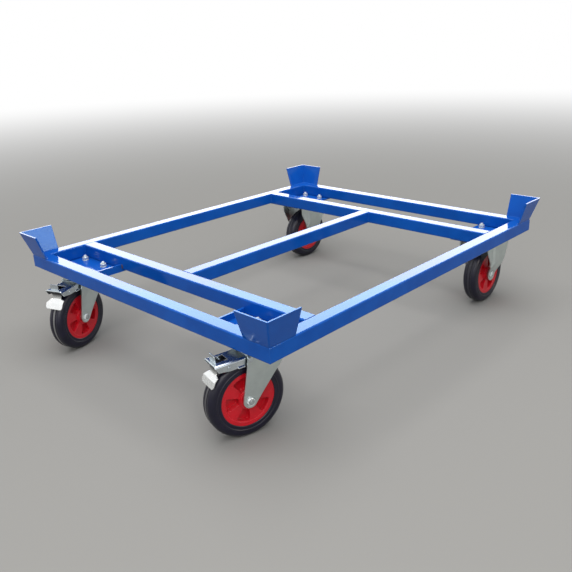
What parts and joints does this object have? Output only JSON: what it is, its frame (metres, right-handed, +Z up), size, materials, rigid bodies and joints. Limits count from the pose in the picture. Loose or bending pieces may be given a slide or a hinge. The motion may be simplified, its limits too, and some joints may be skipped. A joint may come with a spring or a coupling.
{
  "type": "pallet dolly",
  "caption": "Low welded box-section frame with flared corner guides that carries a pallet on braked swivel castors at one end and fixed castors at the other",
  "frame": {"origin": "On the floor under the middle of the whole outline", "axes": "+X along the longer side towards the end with the braked swivel castors, +Y to the right-hand side rail, +Z up"},
  "size_m": [1.3214, 1.084, 0.353],
  "materials": {
    "blue_paint": "gloss powder coat",
    "red_plastic": "satin",
    "black_rubber": "matt",
    "zinc_sheet": "zinc plated, dull",
    "bright_zinc": "zinc plated, bright",
    "zinc_fastener": "zinc plated",
    "bearing_steel": "polished"
  },
  "bodies": {
    "frame": {"front_end_rail": "blue_paint", "back_end_rail": "blue_paint", "left_side_rail": "blue_paint", "right_side_rail": "blue_paint", "front_cross_rail": "blue_paint", "back_cross_rail": "blue_paint", "centre_rail": "blue_paint", "guide_front_left_end": "blue_paint", "guide_front_left_side": "blue_paint", "guide_front_right_end": "blue_paint", "guide_front_right_side": "blue_paint", "guide_back_left_end": "blue_paint", "guide_back_left_side": "blue_paint", "guide_back_right_end": "blue_paint", "guide_back_right_side": "blue_paint", "castor_plate_front_left": "blue_paint", "castor_plate_front_right": "blue_paint", "castor_plate_back_left": "blue_paint", "castor_plate_back_right": "blue_paint", "plate_bolts": "zinc_fastener", "plate_washers": "zinc_fastener", "plate_nuts": "zinc_fastener", "fixed_fork_left": "zinc_sheet", "fixed_fork_right": "zinc_sheet", "fixed_axle_bolts": "zinc_fastener", "fixed_axle_nuts": "zinc_fastener", "fixed_axle_tubes": "zinc_fastener", "swivel_plate_left": "zinc_sheet", "swivel_plate_right": "zinc_sheet", "kingpins": "zinc_fastener", "kingpin_nuts": "zinc_fastener", "lower_ball_cups": "bearing_steel"},
    "swivel_left": {"swivel_fork_left": "zinc_sheet", "swivel_balls_left": "bearing_steel", "brake_housing_left": "zinc_sheet", "brake_pins_left": "zinc_fastener", "swivel_axle_left_bolt": "zinc_fastener", "swivel_axle_left_nut": "zinc_fastener", "swivel_axle_left_tube": "zinc_fastener"},
    "brake_left": {"brake_lever_left": "bright_zinc"},
    "front_wheel_left": {"swivel_wheel_left_centre": "red_plastic", "swivel_wheel_left_tyre": "black_rubber", "swivel_wheel_left_rollers": "bearing_steel"},
    "back_wheel_left": {"fixed_wheel_left_centre": "red_plastic", "fixed_wheel_left_tyre": "black_rubber", "fixed_wheel_left_rollers": "bearing_steel"},
    "swivel_right": {"swivel_fork_right": "zinc_sheet", "swivel_balls_right": "bearing_steel", "brake_housing_right": "zinc_sheet", "brake_pins_right": "zinc_fastener", "swivel_axle_right_bolt": "zinc_fastener", "swivel_axle_right_nut": "zinc_fastener", "swivel_axle_right_tube": "zinc_fastener"},
    "brake_right": {"brake_lever_right": "bright_zinc"},
    "front_wheel_right": {"swivel_wheel_right_centre": "red_plastic", "swivel_wheel_right_tyre": "black_rubber", "swivel_wheel_right_rollers": "bearing_steel"},
    "back_wheel_right": {"fixed_wheel_right_centre": "red_plastic", "fixed_wheel_right_tyre": "black_rubber", "fixed_wheel_right_rollers": "bearing_steel"}
  },
  "joints": [
    {"name": "swivel_left_turn", "type": "hinge", "parent": "frame", "child": "swivel_left", "pos_m": [0.50831, -0.3965, 0.221], "axis": [0, 0, 1], "continuous": true},
    {"name": "brake_left_press", "type": "hinge", "parent": "swivel_left", "child": "brake_left", "pos_m": [0.60269, -0.36345, 0.198], "axis": [-0.3305, 0.9438, 0], "range_deg": [0, 4]},
    {"name": "front_wheel_left_roll", "type": "hinge", "parent": "swivel_left", "child": "front_wheel_left", "pos_m": [0.56022, -0.37832, 0.1], "axis": [-0.3305, 0.9438, 0], "continuous": true},
    {"name": "back_wheel_left_roll", "type": "hinge", "parent": "frame", "child": "back_wheel_left", "pos_m": [-0.52569, -0.4155, 0.1], "axis": [0, 1, 0], "continuous": true},
    {"name": "swivel_right_turn", "type": "hinge", "parent": "frame", "child": "swivel_right", "pos_m": [0.50831, 0.3965, 0.221], "axis": [0, 0, 1], "continuous": true},
    {"name": "brake_right_press", "type": "hinge", "parent": "swivel_right", "child": "brake_right", "pos_m": [0.60477, 0.37011, 0.198], "axis": [0.2639, 0.9646, 0], "range_deg": [0, 4]},
    {"name": "front_wheel_right_roll", "type": "hinge", "parent": "swivel_right", "child": "front_wheel_right", "pos_m": [0.56136, 0.38199, 0.1], "axis": [0.2639, 0.9646, 0], "continuous": true},
    {"name": "back_wheel_right_roll", "type": "hinge", "parent": "frame", "child": "back_wheel_right", "pos_m": [-0.52569, 0.4155, 0.1], "axis": [0, 1, 0], "continuous": true}
  ]
}
